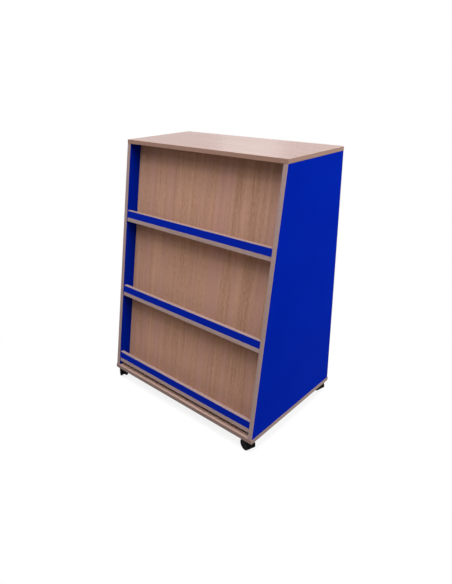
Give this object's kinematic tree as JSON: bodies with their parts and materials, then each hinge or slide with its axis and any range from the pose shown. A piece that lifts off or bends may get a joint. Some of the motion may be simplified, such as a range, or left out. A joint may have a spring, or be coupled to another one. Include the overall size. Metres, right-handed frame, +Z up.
{
  "type": "double sided book display",
  "caption": "Freestanding double sided book display: tapered end panels, leaning display panels with lipped shelves on both faces, level top and base, on swivel casters.",
  "frame": {"origin": "on the floor under the middle of the unit", "axes": "+Z up, front face towards -Y, rear face towards +Y, right end towards +X"},
  "size_m": [0.8417, 0.644, 1.2002],
  "materials": {
    "beech_board": "satin beech-grain melamine on chipboard",
    "blue_board": "satin blue melamine on chipboard",
    "beech_edging": "beech-grain plastic edging",
    "black_nylon": "moulded black nylon",
    "zinc_steel": "bright zinc plate"
  },
  "bodies": {
    "carcass": {"top_panel": "beech_board", "top_edging": "beech_edging", "base_panel": "beech_board", "base_edging": "beech_edging", "left_end_panel": "blue_board", "left_end_front_edging": "beech_edging", "left_end_rear_edging": "beech_edging", "right_end_panel": "blue_board", "right_end_front_edging": "beech_edging", "right_end_rear_edging": "beech_edging", "front_display_panel": "beech_board", "front_lower_shelf": "beech_board", "front_lower_shelf_edging": "beech_edging", "front_lower_lip": "blue_board", "front_lower_lip_edging": "beech_edging", "front_middle_shelf": "beech_board", "front_middle_shelf_edging": "beech_edging", "front_middle_lip": "blue_board", "front_middle_lip_edging": "beech_edging", "front_upper_shelf": "beech_board", "front_upper_shelf_edging": "beech_edging", "front_upper_lip": "blue_board", "front_upper_lip_edging": "beech_edging", "rear_display_panel": "beech_board", "rear_lower_shelf": "beech_board", "rear_lower_shelf_edging": "beech_edging", "rear_lower_lip": "blue_board", "rear_lower_lip_edging": "beech_edging", "rear_middle_shelf": "beech_board", "rear_middle_shelf_edging": "beech_edging", "rear_middle_lip": "blue_board", "rear_middle_lip_edging": "beech_edging", "rear_upper_shelf": "beech_board", "rear_upper_shelf_edging": "beech_edging", "rear_upper_lip": "blue_board", "rear_upper_lip_edging": "beech_edging", "front_left_caster_plate": "zinc_steel", "front_left_caster_king_pin": "zinc_steel", "front_right_caster_plate": "zinc_steel", "front_right_caster_king_pin": "zinc_steel", "rear_left_caster_plate": "zinc_steel", "rear_left_caster_king_pin": "zinc_steel", "rear_right_caster_plate": "zinc_steel", "rear_right_caster_king_pin": "zinc_steel"},
    "front_left_caster": {"front_left_caster_hood": "black_nylon", "front_left_caster_axle": "zinc_steel"},
    "front_left_left_wheel": {"front_left_caster_left_wheel": "black_nylon"},
    "front_left_right_wheel": {"front_left_caster_right_wheel": "black_nylon"},
    "front_right_caster": {"front_right_caster_hood": "black_nylon", "front_right_caster_axle": "zinc_steel"},
    "front_right_left_wheel": {"front_right_caster_left_wheel": "black_nylon"},
    "front_right_right_wheel": {"front_right_caster_right_wheel": "black_nylon"},
    "rear_left_caster": {"rear_left_caster_hood": "black_nylon", "rear_left_caster_axle": "zinc_steel"},
    "rear_left_left_wheel": {"rear_left_caster_left_wheel": "black_nylon"},
    "rear_left_right_wheel": {"rear_left_caster_right_wheel": "black_nylon"},
    "rear_right_caster": {"rear_right_caster_hood": "black_nylon", "rear_right_caster_axle": "zinc_steel"},
    "rear_right_left_wheel": {"rear_right_caster_left_wheel": "black_nylon"},
    "rear_right_right_wheel": {"rear_right_caster_right_wheel": "black_nylon"}
  },
  "joints": [
    {"name": "front_left_swivel", "type": "hinge", "parent": "carcass", "child": "front_left_caster", "pos_m": [-0.3875, -0.295, 0.05592], "axis": [0, 0, 1], "continuous": true},
    {"name": "front_left_left_wheel_spin", "type": "hinge", "parent": "front_left_caster", "child": "front_left_left_wheel", "pos_m": [-0.39721, -0.28795, 0.025], "axis": [-0.5878, -0.809, 0], "continuous": true},
    {"name": "front_left_right_wheel_spin", "type": "hinge", "parent": "front_left_caster", "child": "front_left_right_wheel", "pos_m": [-0.39721, -0.28795, 0.025], "axis": [-0.5878, -0.809, 0], "continuous": true},
    {"name": "front_right_swivel", "type": "hinge", "parent": "carcass", "child": "front_right_caster", "pos_m": [0.3875, -0.295, 0.05592], "axis": [0, 0, 1], "continuous": true},
    {"name": "front_right_left_wheel_spin", "type": "hinge", "parent": "front_right_caster", "child": "front_right_left_wheel", "pos_m": [0.37596, -0.29169, 0.025], "axis": [-0.2756, -0.9613, 0], "continuous": true},
    {"name": "front_right_right_wheel_spin", "type": "hinge", "parent": "front_right_caster", "child": "front_right_right_wheel", "pos_m": [0.37596, -0.29169, 0.025], "axis": [-0.2756, -0.9613, 0], "continuous": true},
    {"name": "rear_left_swivel", "type": "hinge", "parent": "carcass", "child": "rear_left_caster", "pos_m": [-0.3875, 0.295, 0.05592], "axis": [0, 0, 1], "continuous": true},
    {"name": "rear_left_left_wheel_spin", "type": "hinge", "parent": "rear_left_caster", "child": "rear_left_left_wheel", "pos_m": [-0.39943, 0.29625, 0.025], "axis": [-0.1045, -0.9945, 0], "continuous": true},
    {"name": "rear_left_right_wheel_spin", "type": "hinge", "parent": "rear_left_caster", "child": "rear_left_right_wheel", "pos_m": [-0.39943, 0.29625, 0.025], "axis": [-0.1045, -0.9945, 0], "continuous": true},
    {"name": "rear_right_swivel", "type": "hinge", "parent": "carcass", "child": "rear_right_caster", "pos_m": [0.3875, 0.295, 0.05592], "axis": [0, 0, 1], "continuous": true},
    {"name": "rear_right_left_wheel_spin", "type": "hinge", "parent": "rear_right_caster", "child": "rear_right_left_wheel", "pos_m": [0.37576, 0.2975, 0.025], "axis": [-0.2079, -0.9781, 0], "continuous": true},
    {"name": "rear_right_right_wheel_spin", "type": "hinge", "parent": "rear_right_caster", "child": "rear_right_right_wheel", "pos_m": [0.37576, 0.2975, 0.025], "axis": [-0.2079, -0.9781, 0], "continuous": true}
  ]
}
